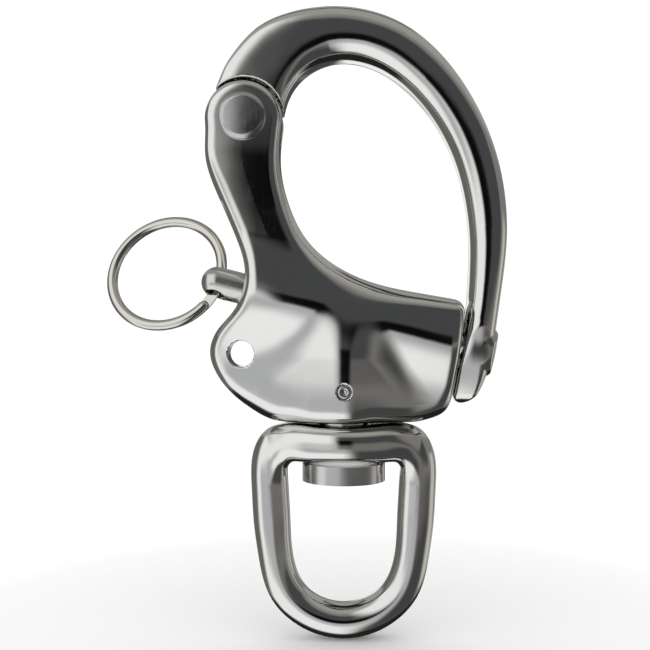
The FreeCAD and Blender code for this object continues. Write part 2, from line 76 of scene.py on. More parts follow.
def spline(points, first=None, last=None):
    """Dense points on the cubic through these, with end directions where they are given."""
    p = np.array(points, float)
    chord = np.linalg.norm(np.diff(p, axis=0), axis=1)
    n = len(p)
    matrix = np.zeros((n, n))
    right_side = np.zeros((n, 2))
    for i in range(1, n - 1):
        a, b = chord[i - 1], chord[i]
        matrix[i, i - 1], matrix[i, i], matrix[i, i + 1] = b, 2 * (a + b), a
        right_side[i] = 3 * (b * (p[i] - p[i - 1]) / a + a * (p[i + 1] - p[i]) / b)
    for row, other, direction, run in ((0, 1, first, p[1] - p[0]), (n - 1, n - 2, last, p[-1] - p[-2])):
        if direction is None:
            matrix[row, row], matrix[row, other] = 2, 1
            right_side[row] = 3 * run / np.linalg.norm(run)
        else:
            matrix[row, row] = 1
            right_side[row] = np.array(direction) / np.linalg.norm(direction)
    slope = np.linalg.solve(matrix, right_side)
    dense = []
    for i in range(n - 1):
        count = max(2, int(chord[i] / DENSE))
        t = (np.arange(count) / count)[:, None]
        dense.append((2 * t**3 - 3 * t**2 + 1) * p[i] + (t**3 - 2 * t**2 + t) * chord[i] * slope[i]
                     + (3 * t**2 - 2 * t**3) * p[i + 1] + (t**3 - t**2) * chord[i] * slope[i + 1])
    return np.vstack(dense + [p[-1:]])


def arc(centre, radius, start, end):
    """Dense points on an arc, its angles in degrees."""
    count = max(3, int(abs(math.radians(end - start)) * radius / DENSE))
    angle = np.radians(np.linspace(start, end, count))
    return np.array(centre) + radius * np.stack([np.cos(angle), np.sin(angle)], 1)


def rounded(start, corner, end, radius):
    """A run, a tangent arc round the corner and a second run."""
    into = (corner - start) / np.linalg.norm(corner - start)
    out = (end - corner) / np.linalg.norm(end - corner)
    turn = math.acos(float(np.dot(into, out)))
    side = math.copysign(1.0, into[0] * out[1] - into[1] * out[0])
    reach = radius * math.tan(turn / 2)
    first = corner - into * reach
    centre = first + side * radius * np.array([-into[1], into[0]])
    angle = math.degrees(math.atan2(*(first - centre)[::-1]))
    bend = arc(centre, radius, angle, angle + side * math.degrees(turn))
    return np.vstack([start, bend, end])


def heading(degrees):
    """The direction of travel at this angle of a counterclockwise arc."""
    angle = math.radians(degrees)
    return np.array([-math.sin(angle), math.cos(angle)])


def mirrored_loop(left):
    """A closed outline from its left half, which runs from one point on the Z axis to another."""
    right = left[::-1] * np.array([-1, 1])
    return np.vstack([left, right[1:-1]])


class Curve:
    """A smooth curve through dense points, which tells how far to its left a place lies."""

    STEP = 0.12
    POINT_SMOOTHING = 2
    BEND_SMOOTHING = 6

    def __init__(self, points, closed=False):
        self.closed = closed
        self.points, self.spacing = self.evenly_spaced(np.array(points, float))
        for _ in range(self.POINT_SMOOTHING):
            self.points = self.blur(self.points)
        along = self.slope(self.points)
        self.tangents = along / np.linalg.norm(along, axis=1)[:, None]
        bend = self.slope(self.tangents)
        turning = self.tangents[:, 0] * bend[:, 1] - self.tangents[:, 1] * bend[:, 0]
        self.curvature = turning / self.spacing
        for _ in range(self.BEND_SMOOTHING):
            self.curvature = self.blur(self.curvature)
        self.tree = KDTree(len(self.points))
        for i, (x, z) in enumerate(self.points):
            self.tree.insert((x, z, 0), i)
        self.tree.balance()

    def evenly_spaced(self, p):
        """The points at even steps along the curve, and the length of a step."""
        if self.closed:
            p = np.vstack([p, p[:1]])
        apart = np.r_[True, np.linalg.norm(np.diff(p, axis=0), axis=1) > 1e-6]
        p = p[apart]
        run = np.r_[0, np.cumsum(np.linalg.norm(np.diff(p, axis=0), axis=1))]
        count = max(8, int(run[-1] / self.STEP))
        where = np.linspace(0, run[-1], count + 1)
        if self.closed:
            where = where[:-1]
        return np.stack([np.interp(where, run, p[:, 0]), np.interp(where, run, p[:, 1])], 1), run[-1] / count

    def blur(self, v):
        before, after = np.roll(v, 1, 0), np.roll(v, -1, 0)
        soft = (before + 2 * v + after) / 4
        if not self.closed:
            soft[0], soft[-1] = v[0], v[-1]
        return soft

    def slope(self, v):
        """The change of v in one step along the curve."""
        change = (np.roll(v, -1, 0) - np.roll(v, 1, 0)) / 2
        if not self.closed:
            change[0], change[-1] = v[1] - v[0], v[-1] - v[-2]
        return change

    def nearest(self, x, z):
        find = self.tree.find
        return np.array([find((a, b, 0))[1] for a, b in zip(x.tolist(), z.tolist())])

    def left(self, x, z, near):
        """How far to the left of the curve each place lies; near is its nearest point of the curve."""
        point, tangent = self.points[near], self.tangents[near]
        from_x, from_z = x - point[:, 0], z - point[:, 1]
        along = from_x * tangent[:, 0] + from_z * tangent[:, 1]
        off = from_z * tangent[:, 0] - from_x * tangent[:, 1]
        # the foot of the perpendicular lies between two points, found with the local curvature
        place = near + along / np.maximum(1 - self.curvature[near] * off, 0.2) / self.spacing
        place = np.clip(place, near - 3, near + 3)
        if not self.closed:
            place = np.clip(place, 0, len(self.points) - 1.001)
        before = np.floor(place).astype(int)
        part = (place - before)[:, None]
        before, after = before % len(self.points), (before + 1) % len(self.points)
        foot = self.points[before] * (1 - part) + self.points[after] * part
        way = self.tangents[before] * (1 - part) + self.tangents[after] * part
        return ((z - foot[:, 1]) * way[:, 0] - (x - foot[:, 0]) * way[:, 1]) / np.linalg.norm(way, axis=1)


# ------------------------------------------------------------------ fields: negative inside a shape

def step_between(low, high, value):
    """Smoothly from 0 at low to 1 at high."""
    t = np.clip((value - low) / (high - low), 0, 1)
    return t * t * (3 - 2 * t)


def ramp(value, soft=3.0):
    """From zero far below zero to the value itself far above it, with a soft bend between."""
    return (value + np.hypot(value, soft)) / 2


def blend_max(a, b, width):
    """The larger of the two, with the crease between them filled over this width."""
    return np.maximum(a, b) + np.maximum(width - np.abs(a - b), 0) ** 2 / (4 * width)


def ridge(off, height, slope, crown):
    """A ridge of this height whose sides run down at a steady slope from a rounded crown."""
    return height - slope * (np.sqrt(off**2 + crown**2) - crown)


def both(a, b, radius):
    """Inside a and inside b, with the outer edge rounded to the radius."""
    u, v = np.maximum(a + radius, 0), np.maximum(b + radius, 0)
    return np.sqrt(u * u + v * v) - radius + np.minimum(np.maximum(a, b) + radius, 0)


def either(a, b, radius):
    """Inside a or inside b, with the inner corner filled to the radius."""
    return -both(-a, -b, radius)


def minus(a, b, radius):
    """Inside a and outside b."""
    return both(a, -b, radius)


def round_bar(x, y, z, radius):
    """An endless bar round the plunger's axis, and how far along the axis each place is."""
    ox, oy, oz = x - PLUNGER_MID[0], y - PLUNGER_MID[1], z - PLUNGER_MID[2]
    along = ox * PLUNGER_DIR[0] + oy * PLUNGER_DIR[1] + oz * PLUNGER_DIR[2]
    gap = np.sqrt(np.maximum(ox * ox + oy * oy + oz * oz - along * along, 0))
    return gap - radius, along


# ------------------------------------------------------------------ meshes

def surface_net(values, origin, step):
    """Points and quads of the surface where a grid of values changes sign."""
    inside = values < 0
    size = np.array(values.shape)
    corners_inside = np.zeros(size - 1, np.int8)
    for shift in np.ndindex(2, 2, 2):
        corners_inside += inside[tuple(slice(s, n - 1 + s) for s, n in zip(shift, size))]
    crossed = (corners_inside > 0) & (corners_inside < 8)
    cells = np.argwhere(crossed)
    index = np.full(crossed.shape, -1, np.int64)
    index[crossed] = np.arange(len(cells))
    total, number = np.zeros((len(cells), 3)), np.zeros(len(cells))
    faces = []
    for axis in range(3):
        along, side_a, side_b = np.roll(np.eye(3, dtype=int), -axis, 0)
        # a cell's point is the mean of the places where the surface crosses the cell's edges
        for a, b in np.ndindex(2, 2):
            start = cells + a * side_a + b * side_b
            first, second = values[tuple(start.T)], values[tuple((start + along).T)]
            hit = (first < 0) != (second < 0)
            part = first[hit] / (first[hit] - second[hit])
            total[hit] += start[hit] + part[:, None] * along
            number[hit] += 1
        # a quad joins the four cells round every edge that the surface crosses
        edge = np.argwhere(np.diff(inside, axis=axis))
        for across in ((axis + 1) % 3, (axis + 2) % 3):
            edge = edge[(edge[:, across] > 0) & (edge[:, across] < size[across] - 1)]
        shifts = (0 * side_a, side_a, side_a + side_b, side_b)
        quad = np.stack([index[tuple((edge - shift).T)] for shift in shifts], 1)
        flip = ~inside[tuple(edge.T)]
        quad[flip] = quad[flip][:, ::-1]
        faces.append(quad)
    return total / number[:, None] * step + np.array(origin), np.vstack(faces)


def gradient(field, points):
    """The value of a field at each point and its slope along x, y and z."""
    x, y, z = points.T
    reach = GRID * 0.25
    near = field.prepare(x, z)
    slope = np.stack([
        field.value(x + reach, y, z, near) - field.value(x - reach, y, z, near),
        field.value(x, y + reach, z, near) - field.value(x, y - reach, z, near),
        field.value(x, y, z + reach, near) - field.value(x, y, z - reach, near)], 1) / (2 * reach)
    return field.value(x, y, z, near), slope


def make_mesh(name, points, faces, material, normals=None):
    """An object from lists of points and faces, smooth shaded."""
    mesh = bpy.data.meshes.new(name)
    mesh.from_pydata(points, [], faces)
    mesh.polygons.foreach_set("use_smooth", np.ones(len(mesh.polygons), bool))
    mesh.materials.append(material)
    mesh.validate()
    if normals is not None and len(normals) == len(mesh.vertices):
        mesh.normals_split_custom_set_from_vertices(normals)
    mesh.update()
    piece = bpy.data.objects.new(name, mesh)
    bpy.context.scene.collection.objects.link(piece)
    return piece


def solid(name, field, low, high, material):
    """A mesh of the zero surface of a field, with every point drawn onto it and its true normals."""
    axes = [np.arange(start, end + GRID, GRID) for start, end in zip(low, high)]
    grid_x, grid_z = np.meshgrid(axes[0], axes[2], indexing="ij")
    x, z = grid_x.ravel(), grid_z.ravel()
    near = field.prepare(x, z)
    layers = [field.value(x, np.full(x.size, y), z, near).reshape(grid_x.shape) for y in axes[1]]
    points, quads = surface_net(np.stack(layers, 1), [axis[0] for axis in axes], GRID)
    for _ in range(3):
        value, slope = gradient(field, points)
        length = np.linalg.norm(slope, axis=1)
        move = np.clip(value / np.maximum(length, 0.3), -GRID, GRID)
        points = points - (move / np.maximum(length, 1e-9))[:, None] * slope
    _, slope = gradient(field, points)
    normals = slope / np.maximum(np.linalg.norm(slope, axis=1), 1e-9)[:, None]
    return make_mesh(name, (points * MM).tolist(), quads.tolist(), material, normals.tolist())


def lathe(name, profile, base, material):
    """A turned piece: a profile of (radius, distance to the back), spun about an axis along Y."""
    around = 48
    axis = Vector((0, 1, 0))
    side = axis.orthogonal().normalized()
    other = axis.cross(side)
    points, faces, rings = [], [], []
    for radius, along in profile:
        if radius == 0:
            rings.append([len(points)])
            points.append(base + axis * along)
            continue
        rings.append(list(range(len(points), len(points) + around)))
        for j in range(around):
            turn = 2 * math.pi * j / around
            points.append(base + axis * along + (side * math.cos(turn) + other * math.sin(turn)) * radius)
    for first, second in zip(rings, rings[1:]):
        for j in range(around):
            k = (j + 1) % around
            if len(first) == 1:
                faces.append((first[0], second[k], second[j]))
            elif len(second) == 1:
                faces.append((first[j], first[k], second[0]))
            else:
                faces.append((first[j], first[k], second[k], second[j]))
    return make_mesh(name, [p * MM for p in points], faces, material)


def two_ended(half):
    """A turned profile with both ends alike, from the half that runs in from one end."""
    return half + [(radius, -along) for radius, along in reversed(half)]


# ------------------------------------------------------------------ body casting

def body_outline():
    """The casting's outline, counterclockwise from the ear."""
    ear_start, ear_end = -8.0, 185.0
    ear = arc(PIN, 7.2, ear_start, ear_end)
    left = spline([ear[-1], at(-25.9, 50.0), at(-23.5, 42.4), at(-20.2, 34.7), at(-18.5, 27.6),
                   at(-20.6, 21.4), at(-24.2, 17.2), at(-25.5, 13.3), at(-23.8, 8.4), at(-18.2, 2.6),
                   at(-11.5, 0.1)], heading(ear_end), (1, 0))
    face_up = np.array([math.sin(FACE_LEAN), math.cos(FACE_LEAN)])
    foot = at(20.35, 5.0)
    toe = spline([at(12.2, 0.1), at(16.6, 0.9), at(19.2, 2.3), foot], (1, 0), face_up)
    saddle_end = at(14.6, 24.5)
    corner = rounded(foot, at(22.885, 23.04), saddle_end, 2.1)
    saddle_fall = math.radians(10)
    saddle_up = np.array([-math.cos(saddle_fall), math.sin(saddle_fall)])
    saddle = spline([saddle_end, at(7.5, 25.95), at(-0.6, 29.2), at(-7.1, 34.8), at(-10.7, 42.4),
                     at(-12.1, 50.0), ear[0]], saddle_up, heading(ear_start))
    return np.vstack([ear, left, toe, corner, saddle])


class Body:
    """Cast body: a plate of varying thickness with rounded rims, slotted and drilled."""

    SLOT_RADIUS, SLOT_HALF = 7.7, 2.65
    STEM_BORE, SPRING_BORE, SPRING_SEAT = 3.07, 4.1, -3.9
    POST_BORE, POST_BORE_TOP = 4.71, 39.2
    LASHING_EYE, LASHING_RADIUS = (-19.3, 37.8), 2.5
    LOCK_BORE = 1.34
    PILLOW_REACH = 8.0              # the faces fall away this far in from the rim

    def __init__(self):
        self.outline = Curve(body_outline(), closed=True)

    def prepare(self, x, z):
        return self.outline.nearest(x, z)

    @staticmethod
    def half_thickness(x, z):
        """Two ridges, over the plunger and over the post, and the cheeks between them."""
        height = z - BEARING
        off = x * math.sin(SLOPE) + (z - AXIS_HEIGHT) * math.cos(SLOPE)
        barrel = ridge(off, height=7.0, slope=0.53, crown=5.2)
        post = ridge(x, height=8.0, slope=0.6, crown=6.8) - np.maximum(0, height - 12.0) ** 2 / 40.0
        lobe = 0.11 * ramp(-8.0 - x) * step_between(26, 20, height)
        foot = 0.08 * ramp(9.0 - height) * step_between(5, -5, x)
        cheek = 4.6 - lobe - foot + step_between(20, 34, height) + 0.4 * step_between(40, 52, height)
        return blend_max(blend_max(barrel, post, 2.2), cheek, 2.2)

    @staticmethod
    def rim(x, z):
        """Radius of the rim, and how far above the face its round starts, as a part of the radius."""
        height = z - BEARING
        saddle = step_between(-16, -8, x) * step_between(20, 25, height) * step_between(54, 44, height)
        left = step_between(-10, -18, x) * step_between(52, 44, height)
        foot = step_between(8, 2, height) * (0.5 + step_between(1, 6, x) + step_between(-5, -10, x))
        return 2.1 + 2.3 * saddle + 0.6 * left + foot, 0.05 + 0.045 * saddle

    def value(self, x, y, z, near):
        past_rim = -self.outline.left(x, z, near)
        pillow = (0.6 - 0.45 * step_between(46, 54, z)) * step_between(14, 4, x)
        fall = pillow * np.clip(1 + past_rim / self.PILLOW_REACH, 0, 1) ** 2
        past_face = np.abs(y) - self.half_thickness(x, z) + fall
        radius, crease = self.rim(x, z)
        shape = both(both(past_rim, past_face - crease * radius, radius), past_face, 0.4)
        # slot between the ears
        round_pin = np.hypot(x - PIN[0], z - PIN[1])
        slot = both(round_pin - self.SLOT_RADIUS, np.abs(y) - self.SLOT_HALF, 0.2)
        shape = minus(shape, slot, 0.25)
        # bores for the plunger, its spring and the post
        stem, _ = round_bar(x, y, z, self.STEM_BORE)
        spring, along = round_bar(x, y, z, self.SPRING_BORE)
        shape = minus(shape, either(stem, both(spring, self.SPRING_SEAT - along, 0.1), 0.1), 0.25)
        post = both(np.hypot(x, y) - self.POST_BORE, z - self.POST_BORE_TOP, 0.2)
        shape = minus(shape, post, 0.2)
        # lashing eye and the hole of the pin that locks the post
        lashing = np.hypot(x - self.LASHING_EYE[0], z - self.LASHING_EYE[1]) - self.LASHING_RADIUS
        lock = np.hypot(x, z - LOCK_HEIGHT) - self.LOCK_BORE
        return minus(shape, np.minimum(lashing, lock), 0.2)


# ------------------------------------------------------------------ gate and bail

class Bar:
    """A bar that runs between an outer and an inner outline."""

    def prepare(self, x, z):
        return self.outer.nearest(x, z), self.inner.nearest(x, z)

    def section(self, x, y, z, near, depth, power):
        """The bar with an oval section of this half depth; a higher power makes it squarer."""
        from_outer = self.outer.left(x, z, near[0])
        from_inner = -self.inner.left(x, z, near[1])
        width = np.maximum(from_outer + from_inner, 0.5)
        across = np.abs(from_outer - from_inner) / width
        oval = (across**power + np.abs(y / depth) ** power) ** (1 / power) - 1
        return oval * np.minimum(width / 2, depth)


class Gate(Bar):
    """The bow: squarer near the hinge and at the tip, with the tongue that turns between the ears."""

    CENTRE = at(4.0, 45.0)
    # angle round the centre, half depth and squareness of the section
    SECTIONS = np.array([(-75, 3.6, 2.3), (-60, 4.1, 2.4), (-50, 4.3, 2.4), (-40, 4.2, 2.4), (-20, 4.1, 2.5),
                         (0, 4.25, 2.5), (30, 4.6, 2.5), (60, 4.9, 2.6), (90, 5.0, 2.6), (105, 5.0, 2.8),
                         (115, 5.0, 3.4), (125, 4.95, 4.5), (140, 4.9, 5.5), (180, 4.9, 5.5)])
    OUTER = [at(18.0, -4.0), at(23.0, 2.0), at(25.8, 6.0), at(27.5, 10.2), at(28.9, 17.6), at(29.8, 24.0),
             at(31.0, 35.0), at(30.6, 43.5), at(28.1, 53.8), at(23.3, 63.5), at(17.3, 71.0),
             at(11.2, 75.6), at(5.8, 77.8), at(-0.7, 78.8), at(-9.2, 77.8), at(-16.3, 74.5),
             at(-20.6, 69.9), at(-22.4, 67.1), at(-23.5, 64.6), at(-24.4, 62.2), at(-25.2, 59.4),
             at(-25.9, 55.0)]
    INNER = [at(16.5, -8.0), at(18.0, 0.0), at(19.5, 6.0), at(21.5, 14.0), at(23.3, 22.0), at(23.8, 28.0),
             at(23.9, 34.0), at(22.95, 42.6), at(20.9, 50.0), at(16.9, 57.6), at(11.9, 63.3),
             at(6.2, 67.2), at(-0.7, 68.6), at(-5.5, 67.2), at(-9.0, 64.3), at(-10.9, 60.5),
             at(-11.6, 56.0), at(-11.8, 50.0)]
    LATCH_FOOT = at(20.7, 5.0)
    HEEL = math.radians(134)
    STEP_RADIUS, BOW_END = 7.55, 6.9
    TONGUE_RADIUS, TONGUE_HALF, PIN_BORE = 7.1, 2.55, 2.56
    SOCKET_RADIUS, SOCKET_END = 2.8, 26.0
    OFF = -5.0                      # a value that leaves a cut without effect

    def __init__(self):
        self.outer = Curve(spline(self.OUTER))
        self.inner = Curve(spline(self.INNER))

    def bow(self, x, y, z, near):
        """The bow, with a low round pad outside the socket."""
        angle = np.degrees(np.arctan2(z - self.CENTRE[1], x - self.CENTRE[0]))
        angle = np.where(angle < -110, angle + 360, angle)
        angles, depths, powers = self.SECTIONS.T
        depth, power = np.interp(angle, angles, depths), np.interp(angle, angles, powers)
        pad, along = round_bar(x, y, z, 4.3)
        raised = 0.6 * step_between(0.45, -0.45, pad) * step_between(26.2, 28.0, along)
        return self.section(x, y, z, near, depth, power) - raised

    def tip(self, shape, x, y, height):
        """The flat cheeks, the latch face and the toe."""
        # the cheeks are slightly domed and end in a leaf shape where they run out of the bow
        dome = 0.025 * (x - 26.6) ** 2 + 0.012 * (height - 13.5) ** 2
        cheek = 3.8 - dome * step_between(26, 16, height) + 0.35 * ramp(height - 16.0, 2.0)
        shape = both(shape, np.abs(y) - cheek, 0.25)
        foot_x, foot_height = self.LATCH_FOOT[0], self.LATCH_FOOT[1] - BEARING
        past_face = (x - foot_x) * math.cos(FACE_LEAN) - (height - foot_height) * math.sin(FACE_LEAN)
        shape = minus(shape, both(past_face, height - 24.0, 1.5), 0.8)
        return both(shape, 3.7 - height, 1.8)

    def hinge(self, shape, x, y, z):
        """The heel, the step round the ears and the tongue with its hole."""
        height = z - BEARING
        behind = -((x - PIN[0]) * math.sin(self.HEEL) - (z - PIN[1]) * math.cos(self.HEEL))
        shape = both(shape, np.where(x < 0, behind, self.OFF), 0.4)
        inner_end = (x > -14.0) & (x < 0)
        shape = both(shape, np.where(inner_end, 58.5 - height, self.OFF), 0.3)
        round_pin = np.hypot(x - PIN[0], z - PIN[1])
        beside_tongue = both(round_pin - self.STEP_RADIUS, self.TONGUE_HALF - np.abs(y), 0.1)
        shape = minus(shape, beside_tongue, 0.35)
        shape = minus(shape, round_pin - self.BOW_END, 0.1)
        tongue = both(round_pin - self.TONGUE_RADIUS, np.abs(y) - self.TONGUE_HALF, 0.3)
        shape = either(shape, tongue, 0.2)
        return minus(shape, round_pin - self.PIN_BORE, 0.15)

    def value(self, x, y, z, near):
        shape = self.tip(self.bow(x, y, z, near), x, y, z - BEARING)
        shape = self.hinge(shape, x, y, z)
        socket, along = round_bar(x, y, z, self.SOCKET_RADIUS)
        return minus(shape, both(socket, along - self.SOCKET_END, 0.3), 0.35)


class Bail(Bar):
    """The D-shaped eye: a round section between two outlines, with a boss for the post."""

    TOP, BAR_BOTTOM = 24.6, 17.3
    ROD_RADIUS, BOSS_HALF_DEPTH = 3.45, 8.5
    BORE = 4.78
    RECESS_RADIUS, RECESS_MIDDLE, RECESS_HALF = 7.0, 14.0, 4.02     # room for the post's head

    def __init__(self):
        top = self.TOP
        outer = [(0.0, top), (-6.0, top), (-11.3, top - 0.02), (-14.6, top - 1.15), (-16.5, top - 3.5),
                 (-17.5, top - 6.8), (-17.55, 12.0), (-17.1, 5.0), (-16.4, 0.0), (-14.2, -8.2),
                 (-8.2, -14.2), (0.0, -16.45)]
        self.outer = Curve(mirrored_loop(spline(outer, (-1, 0), (1, 0))), closed=True)
        corner = rounded(np.array([0.0, self.BAR_BOTTOM]), np.array([-10.75, self.BAR_BOTTOM]),
                         np.array([-10.2, 8.0]), 1.6)
        lower = spline([corner[-1], (-9.7, 0.0), (-7.0, -6.7), (0.0, -9.6)], (0.06, -1), (1, 0))
        self.inner = Curve(mirrored_loop(np.vstack([corner, lower[1:]])), closed=True)

    def value(self, x, y, z, near):
        bar = step_between(13.0, 18.5, z)
        swell = np.maximum(1 - (x / 14.5) ** 2, 0) ** 1.3 * bar
        depth = self.ROD_RADIUS + (self.BOSS_HALF_DEPTH - self.ROD_RADIUS) * swell
        power = 2.0 + 1.4 * step_between(13.0, 6.0, np.abs(x)) * bar
        shape = self.section(x, y, z, near, depth, power)
        round_post = np.hypot(x, y)
        shape = minus(shape, np.maximum(round_post - self.BORE, 12.0 - z), 0.25)
        past_end = np.abs(z - self.RECESS_MIDDLE) - self.RECESS_HALF
        return minus(shape, both(round_post - self.RECESS_RADIUS, past_end, 0.1), 0.15)


# ------------------------------------------------------------------ split ring

RING_TANGENT = Vector((0.284, 0.328, 0.902)).normalized()
RING_OUT = Vector((-0.938, 0.29, 0.19)).normalized()
RING_NORMAL = RING_TANGENT.cross(RING_OUT).normalized()
EYE = Vector(PLUNGER_MID.tolist()) - Vector(PLUNGER_DIR.tolist()) * 24.6


def pull_ring(material):
    """Two coils of half-round wire, flat against each other, joined by a jog through the eye."""
    radius, half_width, thick, gap = 11.15, 1.05, 0.935, 0.02
    jog = 46.0                      # degrees over which the wire passes from one coil to the other
    around = 24
    out = RING_NORMAL.cross(RING_TANGENT).normalized()
    centre = EYE + out * radius
    turns = np.linspace(jog / 2 - 360, 360 - jog / 2, 500)
    last = len(turns) - 1
    points, faces = [], []
    for i, degrees in enumerate(turns):
        angle = math.radians(degrees)
        upper = float(step_between(-jog / 2, jog / 2, degrees))
        middle = upper * (gap + thick * 0.4) - (1 - upper) * (gap + thick * 0.4)
        outward = -out * math.cos(angle) + RING_TANGENT * math.sin(angle)
        taper = math.sqrt(min(1.0, (min(i, last - i) + 0.5) / 4.0))
        for j in range(around):
            turn = 2 * math.pi * (j + 0.5) / around
            c, s = math.cos(turn), math.sin(turn)
            rise = upper * (gap + thick * max(s, 0)) - (1 - upper) * (gap + thick * max(-s, 0))
            points.append((centre + outward * (radius + c * half_width * taper)
                           + RING_NORMAL * (middle + (rise - middle) * taper)) * MM)
    for i in range(last):
        for j in range(around):
            k = (j + 1) % around
            faces.append((i * around + j, (i + 1) * around + j, (i + 1) * around + k, i * around + k))
    faces.append(tuple(range(around)))
    faces.append(tuple(reversed(range(last * around, last * around + around))))
    return make_mesh("ring_wire", points, faces, material)


# ------------------------------------------------------------------ materials

def node(tree, kind, **settings):
    """A new node with some of its settings given."""
    made = tree.nodes.new(kind)
    for setting, value in settings.items():
        setattr(made, setting, value)
    return made


def calc(tree, operation, *values):
    """The output of a math node fed with numbers or other outputs."""
    made = node(tree, "ShaderNodeMath", operation=operation)
    for socket, value in zip(made.inputs, values):
        if isinstance(value, (int, float)):
            socket.default_value = value
        else:
            tree.links.new(value, socket)
    return made.outputs[0]


def ease(tree, value, low, high):
    """Smoothly from 0 at low to 1 at high."""
    made = node(tree, "ShaderNodeMapRange", interpolation_type="SMOOTHSTEP")
    made.inputs["From Min"].default_value = low
    made.inputs["From Max"].default_value = high
    tree.links.new(value, made.inputs["Value"])
    return made.outputs["Result"]


def mixed(tree, factor, first, second):
    """One colour fading into another; each is a colour or an output."""
    made = node(tree, "ShaderNodeMix", data_type="RGBA")
    tree.links.new(factor, made.inputs["Factor"])
    for socket, value in zip(made.inputs[6:8], (first, second)):
        if isinstance(value, tuple):
            socket.default_value = value
        else:
            tree.links.new(value, socket)
    return made.outputs[2]


def noise(tree, place, scale, detail):
    made = node(tree, "ShaderNodeTexNoise")
    made.inputs["Scale"].default_value = scale
    made.inputs["Detail"].default_value = detail
    tree.links.new(place, made.inputs["Vector"])
    return made.outputs["Fac"]


def strokes(tree, place, scale):
    """Noise drawn out along one axis."""
    mapping = node(tree, "ShaderNodeMapping")
    mapping.inputs["Scale"].default_value = scale
    tree.links.new(place, mapping.inputs["Vector"])
    return noise(tree, mapping.outputs["Vector"], 1.0, 2.0)


def bump(tree, height, distance, below=None):
    made = node(tree, "ShaderNodeBump")
    made.inputs["Distance"].default_value = distance
    tree.links.new(height, made.inputs["Height"])
    if below is not None:
        tree.links.new(below, made.inputs["Normal"])
    return made.outputs["Normal"]


def surface(name, colour, metallic, roughness, waviness, grain):
    """A finish with fine wear in its roughness, slight waviness and a fine grain."""
    mat = bpy.data.materials.new(name)
    mat.use_nodes = True
    tree = mat.node_tree
    shader = tree.nodes["Principled BSDF"]
    shader.inputs["Metallic"].default_value = metallic
    place = node(tree, "ShaderNodeTexCoord").outputs["Object"]
    fine = noise(tree, place, 900.0, 5.0)
    broad = noise(tree, place, 90.0, 2.0)
    # colour drifts a little between the broad patches
    tone = mixed(tree, broad, (*(0.94 * c for c in colour), 1), (*colour, 1))
    tree.links.new(tone, shader.inputs["Base Color"])
    # fine scratches and wear show in the roughness
    wear = calc(tree, "MULTIPLY", fine, strokes(tree, place, (2600.0, 2600.0, 260.0)))
    rough = calc(tree, "ADD", roughness * 0.7, calc(tree, "MULTIPLY", wear, roughness * 1.3))
    tree.links.new(rough, shader.inputs["Roughness"])
    # bump: waves of the polishing, then grain
    waves = bump(tree, noise(tree, place, 130.0, 1.0), waviness)
    tree.links.new(bump(tree, fine, grain, waves), shader.inputs["Normal"])
    return mat


def faced(name, centre, colour):
    """A finish of fine rings round an axis along Y, as left by turning."""
    mat = surface(name, colour, 1.0, 0.2, 1e-5, 1e-6)
    tree = mat.node_tree
    shader = tree.nodes["Principled BSDF"]
    away = node(tree, "ShaderNodeVectorMath", operation="SUBTRACT")
    tree.links.new(node(tree, "ShaderNodeTexCoord").outputs["Object"], away.inputs[0])
    away.inputs[1].default_value = [c * MM for c in centre]
    flat = node(tree, "ShaderNodeVectorMath", operation="MULTIPLY")
    tree.links.new(away.outputs[0], flat.inputs[0])
    flat.inputs[1].default_value = (1, 0, 1)
    radius = node(tree, "ShaderNodeVectorMath", operation="LENGTH")
    tree.links.new(flat.outputs[0], radius.inputs[0])
    rings = node(tree, "ShaderNodeTexNoise", noise_dimensions="1D")
    rings.inputs["Scale"].default_value = 9000.0
    tree.links.new(radius.outputs["Value"], rings.inputs["W"])
    below = shader.inputs["Normal"].links[0].from_socket
    tree.links.new(bump(tree, rings.outputs["Fac"], 5e-6, below), shader.inputs["Normal"])
    return mat


PIN_CENTRE = (PIN[0], 0.0, PIN[1])
polished = surface("polished_steel", (0.74, 0.735, 0.72), 1.0, 0.07, 6e-5, 4e-7)
turned = surface("turned_steel", (0.62, 0.62, 0.61), 1.0, 0.2, 1e-5, 2e-6)
wire = surface("wire_steel", (0.66, 0.65, 0.6), 1.0, 0.08, 2e-5, 1e-6)
plastic = surface("washer_plastic", (0.86, 0.85, 0.82), 0.0, 0.4, 1e-5, 2e-6)
pin_steel = faced("pin_face_steel", PIN_CENTRE, (0.5, 0.5, 0.5))


# ------------------------------------------------------------------ pieces

body = solid("body_casting", Body(), (-28, -9.2, 23.5), (24.5, 9.2, 90.5), polished)
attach(body, "body")
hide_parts("body")

gate = solid("gate_casting", Gate(), (-28, -6, 27), (33, 6, 105), polished)
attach(gate, "gate")
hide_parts("gate")

bail = solid("bail_forging", Bail(), (-19, -9.3, -18), (19, 9.3, 26), polished)
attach(bail, "bail")
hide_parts("bail")

ring = pull_ring(wire)
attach(ring, "pull_ring")
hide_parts("pull_ring")

LOCK_END = [(0, 7.3), (0.35, 7.35), (0.5, 7.62), (0.62, 7.72), (1.1, 7.72), (1.26, 7.6), (1.3, 7.4)]
lock = lathe("lock_pin", two_ended(LOCK_END), Vector((0, 0, LOCK_HEIGHT)), turned)
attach(lock, "body")
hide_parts("post_lock_pin")

PIN_HEAD = [(0, 7.0), (3.45, 7.0), (3.6, 6.97), (4.2, 6.63), (4.38, 6.46), (4.45, 6.25), (4.45, 5.4),
            (2.5, 5.4)]
pin = lathe("hinge_rivet", two_ended(PIN_HEAD), Vector(PIN_CENTRE), pin_steel)
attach(pin, "body")
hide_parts("hinge_pin")

